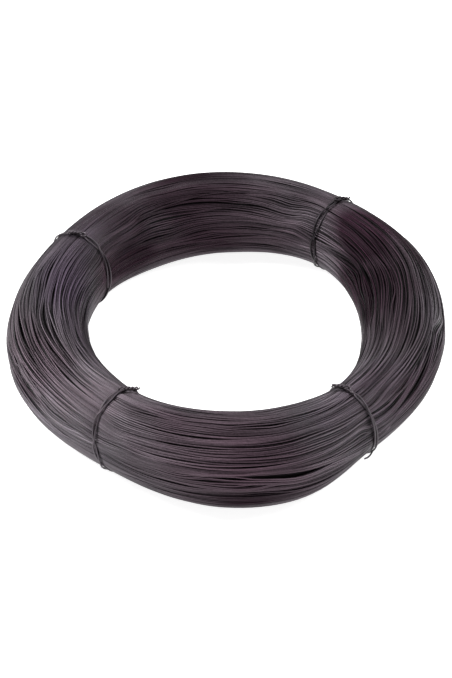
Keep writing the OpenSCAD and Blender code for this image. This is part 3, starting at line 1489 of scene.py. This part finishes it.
PARTINGS: tuple[Parting, ...] = (
    # Front, between the two front ties.
    parting(3.0, {241: 138, 250: 152, 257: 162, 266: 165, 285: 166, 293: 168, 299: 158,
            305: 146, 312: 134}, 60),
    parting(3.2, {246: 36, 251: 41, 257: 46, 263: 50, 270: 54, 276: 56, 283: 53,
            290: 43, 296: 30, 301: 10, 306: -18, 311: -44}, 30),
    parting(2.4, {266: 36, 272: 30, 278: 20, 286: 4}, 12),
    parting(5.4, {250: -31, 262: -22, 270: -15, 278: -14, 285: -22, 293: -31, 303: -40},
            30),
    parting(2.0, {241: -60, 250: -50, 259: -46}),
    parting(2.6, {226: 247, 234: 249, 243: 250, 254: 250}, 60, bold=True),
    parting(2.2, {250: 264, 262: 262, 275: 246, 285: 238, 300: 233}, 60),
    parting(2.6, {293: 243, 303: 241, 318: 239}, bold=True),
    parting(1.4, {296: 232, 303: 228, 312: 221}, 10),
    parting(2.4, {241: 328, 252: 322, 262: 310, 280: 300}, 60),
    parting(2.0, {232: 80, 238: 76, 247: 67}, 15),
    parting(2.0, {234: 54, 245: 38, 256: 27}, 15),
    parting(1.6, {238: 21, 248: 10, 258: 2, 272: -8}),
    parting(1.4, {283: 72, 296: 60, 311: 48}),
    parting(1.6, {283: 128, 294: 121, 303: 112}),
    parting(0.8, {240: 196, 255: 192, 275: 198}),
    parting(1.4, {252: 90, 262: 94, 285: 98}),
    parting(1.4, {280: 267, 290: 262, 303: 248}),
    # Left, between the back left and front left ties.
    parting(2.4, {156: 368, 163: 364, 168: 357, 176: 352, 187: 350}, 60),
    parting(1.4, {160: 316, 170: 321, 180: 313}),
    parting(2.4, {167: 272, 172: 275, 181: 280, 192: 282}, 25),
    parting(2.2, {156: 231, 163: 232, 170: 237, 177: 243}, 25),
    parting(2.2, {167: 174, 173: 181, 180: 187, 188: 190}, 30),
    parting(3.4, {180: 140, 187: 145, 194: 151, 208: 151}, 30),
    parting(1.8, {184: 250, 191: 254, 197: 262, 208: 275}),
    parting(3.2, {187: 202, 200: 203, 208: 203, 222: 199}, 30),
    parting(4.2, {192: 360, 200: 356, 208: 351}, 60),
    parting(3.2, {203: 320, 211: 316, 220: 321, 231: 335}, 60),
    parting(4.4, {209: 79, 214: 74, 218: 66, 223: 55, 233: 36}, 30),
    parting(4.0, {195: 86, 199: 75, 203: 60, 207: 46}),
    parting(4.6, {202: 72, 207: 56, 211: 44, 218: 22}),
    parting(3.8, {203: 20, 210: 2, 217: -22}),
    parting(1.6, {194: 218, 206: 226, 216: 235, 226: 246}),
    parting(2.6, {156: 477, 167: 464, 178: 442, 190: 408, 201: 385}, 60),
    # Right, between the front right and back right ties.
    parting(3.4, {-9: 394, 0: 386, 7: 381, 14: 377, 25: 372}, 30),
    parting(3.0, {24: 402, 30: 416, 36: 430, 44: 445, 51: 452}, 30),
    parting(2.8, {-43: 330, -36: 325, -30: 318, -21: 315}),
    parting(2.4, {-33: 344, -20: 348, -4: 353}),
    parting(3.6, {-43: 28, -35: 56, -27: 83, -19: 108, -11: 128}, 35),
    parting(2.2, {-41: 72, -32: 93, -25: 108, -18: 120}),
    parting(1.8, {-39: 15, -30: 30, -20: 40}),
    parting(2.4, {-24: 190, -14: 194, -5: 200, 6: 204}),
    parting(2.0, {-9: 174, 1: 177, 12: 181}),
    parting(1.6, {-48: 134, -38: 131, -29: 131}),
    parting(2.0, {-9: 292, 8: 291}),
    parting(2.4, {6: 284, 14: 288, 22: 298, 32: 303, 44: 306}),
    parting(2.0, {11: 266, 20: 276, 28: 276, 38: 270}),
    parting(2.6, {-10: 457, -3: 452, 6: 442}, 30),
    parting(3.0, {6: 496, 14: 497, 24: 490}, 30),
    parting(1.8, {-5: 342, 8: 338, 20: 331, 36: 330}),
    parting(1.6, {-24: 250, -10: 256, 6: 256}),
    parting(1.4, {-34: 211, -16: 221, 3: 222}),
    parting(2.0, {33: 216, 42: 212, 54: 209}),
    # Back, between the back right and back left ties.
    parting(4.0, {60: 560, 66: 551, 73: 545, 84: 542, 97: 546}, 30),
    parting(3.4, {68: 374, 76: 362, 83: 354, 92: 348, 101: 343, 111: 337, 122: 328},
            60),
    parting(1.8, {114: 322, 124: 326, 137: 331}),
    parting(2.6, {104: 384, 112: 379, 118: 374, 128: 372}),
    parting(2.0, {77: 461, 88: 455, 99: 449}),
    parting(2.0, {96: 453, 105: 463, 115: 470}),
    parting(1.6, {53: 343, 65: 341, 76: 335}),
    parting(2.0, {74: 290, 82: 301, 90: 306, 103: 307}),
    parting(1.8, {40: 292, 50: 286, 57: 282, 68: 282}, bold=True),
    parting(2.0, {112: 262, 119: 250, 127: 244, 138: 246, 147: 250, 160: 253}, 30,
            bold=True),
    parting(1.6, {58: 504, 72: 490, 88: 490}),
    parting(1.8, {64: 218, 72: 215, 82: 209}),
    parting(1.5, {60: 430, 74: 437, 104: 430}),
    parting(1.8, {116: 438, 123: 433, 131: 430}),
)

# Patches of heavier film: partly the real oxide's darker and plum stretches, partly
# painted shade.
FILM_AND_SHADE_PATCHES: tuple[Patch, ...] = tuple(Patch(*row) for row in (
    # Right, from its tie round the shaded inner side to the low rim.
    (22, 0.26, 26, 0.10, 0.75, 0.5), (16, 0.42, 22, 0.08, 0.7, 0.6),
    (40, 0.26, 12, 0.12, 0.65), (34, 0.34, 12, 0.06, 0.5), (22, 0.47, 20, 0.06, 0.65),
    (26, 0.55, 10, 0.05, 1.4), (24, 0.13, 16, 0.04, 0.9), (36, 0.18, 12, 0.05, 0.25),
    (4, 0.18, 20, 0.08, 0.15, -0.2), (0, 0.40, 14, 0.10, 0.5, 0.3),
    (350, 0.26, 18, 0.10, 0.35, 0.4), (348, 0.03, 14, 0.05, 0.3),
    (336, -0.05, 20, 0.05, 0.45), (330, 0.08, 22, 0.12, 0.8, -0.2),
    (320, 0.26, 14, 0.08, 0.4, -0.3),
    # Back.
    (50, 0.45, 8, 0.06, 0.25), (58, 0.38, 12, 0.20, 0.2), (60, 0.22, 10, 0.08, 0.35),
    (96, 0.50, 34, 0.12, 0.4, 0.8), (92, 0.55, 24, 0.05, 0.5),
    (100, 0.30, 27, 0.11, 0.75, 0.6), (104, 0.18, 22, 0.04, 0.8),
    (120, 0.50, 20, 0.08, 0.25), (134, 0.33, 17, 0.16, 0.6, -0.1),
    (142, 0.50, 16, 0.07, 0.9, 0.9), (144, 0.20, 12, 0.06, 0.4),
    (150, 0.42, 14, 0.10, 0.1, 0.6),
    # Left.
    # (186, 0.42) is painted shade: the contact shade low on the left inner wall.
    (186, 0.42, 20, 0.05, 0.5), (170, 0.32, 22, 0.14, 0.0, -1.0),
    (200, 0.16, 22, 0.12, 0.35, 0.5), (205, 0.36, 18, 0.07, 0.3, -0.3),
    (206, 0.03, 10, 0.04, 0.7), (212, 0.22, 12, 0.10, 0.25),
    # Front.
    (252, 0.27, 10, 0.06, 0.4, 0.3), (272, 0.12, 22, 0.20, 0.15, 0.9),
    (275, -0.06, 14, 0.04, 0.9), (296, 0.20, 14, 0.10, 0.4, -0.2),
))


@dataclass(frozen=True)
class Coil:
    """The whole coil: its bundle, turns, core and ties, and their finishes."""

    axis_to_middle: float = 40.2 * MM
    half_width: float = 40.9 * MM
    half_height: float = 43.5 * MM
    middle_drop: float = 1.9 * MM
    ties: tuple[Tie, ...] = (
        Tie("tie_front_left", 234.8, -2.2, 0.300, 4.3, 110, 55, 14.5 * MM, 1.5 * MM),
        Tie("tie_front_right", 312.3, -1.1, 0.28, 1.67, 17, 122, 13 * MM, 1.5 * MM,
            (LooseEnd(-0.108, 165, 14 * MM, 2 * MM),)),
        Tie("tie_back_right", 50.7, 1.5, 0.21, 3.5, 85, 220, 9 * MM, 0.5 * MM,
            tone=-3.0, gap=3.2 * MM),
        Tie("tie_back_left", 150.5, -1.6, 0.265, 2.7, 92, -72, 13 * MM, -1 * MM,
            gap=2.8 * MM),
    )
    # Of each tie in turn: squeeze, before and after of its waist.
    squeezes: tuple[Triple, ...] = (
        (0.23, 33.5, 25), (0.215, 15, 29.5), (0.215, 28.5, 32), (0.105, 23.5, 24),
    )
    partings: tuple[Parting, ...] = PARTINGS
    # Small partings: how many, in degrees how long, in millimetres how wide.
    scatter: int = 84
    scatter_length: tuple[float, float] = (10, 30)
    scatter_width: tuple[float, float] = (0.4, 1.4)
    scatter_reach: float = 5 * MM
    scatter_seed: int = 5
    strays: tuple[Stray, ...] = (
        Stray(199, 233, 0.100, 0.060), Stray(193, 228, 0.035, -0.020),
        Stray(165, 205, 0.190, 0.220), Stray(318, 372, 0.110, 0.160),
        Stray(343, 395, 0.060, 0.100), Stray(72, 130, 0.300, 0.335),
    )
    stray_tones: tuple[float, float] = (-1.0, 0.4)
    stray_seed: int = 8
    patches: tuple[Patch, ...] = FILM_AND_SHADE_PATCHES
    # The second and third layers' tones are painted shade: darker with depth, where
    # less light reaches.
    layers: tuple[Layer, ...] = (
        Layer("outer", 150, WIRE_R, 6, 1, 1.0, 0.0, 31),
        Layer("second", 140, 2.2 * MM, 5, 1, 0.85, -1.1, 32),
        Layer("third", 112, 3.9 * MM, 4, 2, 0.6, -2.2, 33),
    )

    def bundle(self) -> Bundle:
        """Places the bundle in the box of the CAD coil.

        Returns:
            The bundle, with a waist at each tie.
        """
        _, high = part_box("wire_coil")
        waists = tuple(
            Waist(tie.bearing, *squeeze)
            for tie, squeeze in zip(self.ties, self.squeezes)
        )
        return Bundle(
            high.x - self.axis_to_middle, high.z / 2 - self.middle_drop,
            self.half_width, self.half_height, waists,
        )

    def scattered(self) -> tuple[Parting, ...]:
        """Small partings at seeded places, which follow the turns.

        Returns:
            The partings, their lengths and widths drawn evenly from their ranges.
        """
        rng = np.random.default_rng(self.scatter_seed)
        start = rng.uniform(0, 360, self.scatter)
        span = rng.uniform(*self.scatter_length, self.scatter)
        where = rng.uniform(0, 1, self.scatter)
        width = rng.uniform(*self.scatter_width, self.scatter) * MM
        return tuple(
            Parting(((a, c), (a + b, c)), d, reach=self.scatter_reach)
            for a, b, c, d in zip(start, span, where, width)
        )

    def slanting(self, bundle: Bundle) -> Skin:
        """All the strays, each of its own seeded tone.

        Args:
            bundle: The bundle that they lie on.

        Returns:
            Their wires, each a closed rod.
        """
        rng = np.random.default_rng(self.stray_seed)
        tones = rng.uniform(*self.stray_tones, len(self.strays))
        return joined([stray.skin(bundle, self.patches, float(tone))
                       for stray, tone in zip(self.strays, tones)])

    def settle(self, piece: bpy.types.Object, slot: str, *nodes: str) -> None:
        """Hangs a piece on the body that it rides on and hides the CAD nodes that it
        stands for.

        Args:
            piece: The piece.
            slot: The material slot in the record. It is not used.
            *nodes: CAD nodes that it stands for.
        """
        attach(piece, BODY)
        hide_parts(*nodes)
        log.info("%s: %d faces", piece.name, len(piece.data.polygons))

    def build(self) -> None:
        """Builds and dresses every piece."""
        film = OxideFilm().group()
        annealed, inside, tied = (f.make(film) for f in (ANNEALED, SHADED_INSIDE, TIED))
        bundle = self.bundle()
        winding = Winding(
            bundle, self.ties, self.partings + self.scattered(), self.patches
        )
        pieces = [
            skin.build(f"{layer.name}_turns_{face.name.lower()}", annealed)
            for layer in self.layers for face, skin in winding.skins(layer).items()
        ]
        pieces.append(self.slanting(bundle).build("slanting_turns", annealed))
        # The core wears the inside finish, painted dark as shade.
        pieces.append(winding.core().build("inner_turns", inside))
        for piece in pieces:
            self.settle(piece, WIRE_SLOT, "wire_coil")
        for tie in self.ties:
            piece = tie.skin(bundle).build(f"dressed_{tie.node}", tied)
            self.settle(piece, TIE_SLOT, tie.node)


def main() -> None:
    """Builds the coil and the studio."""
    logging.basicConfig(level=logging.INFO, format="%(name)s: %(message)s")
    Coil().build()
    _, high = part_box("wire_coil")
    Studio((0.0, 0.0, high.z / 2)).build()


if __name__ == "__main__":
    main()
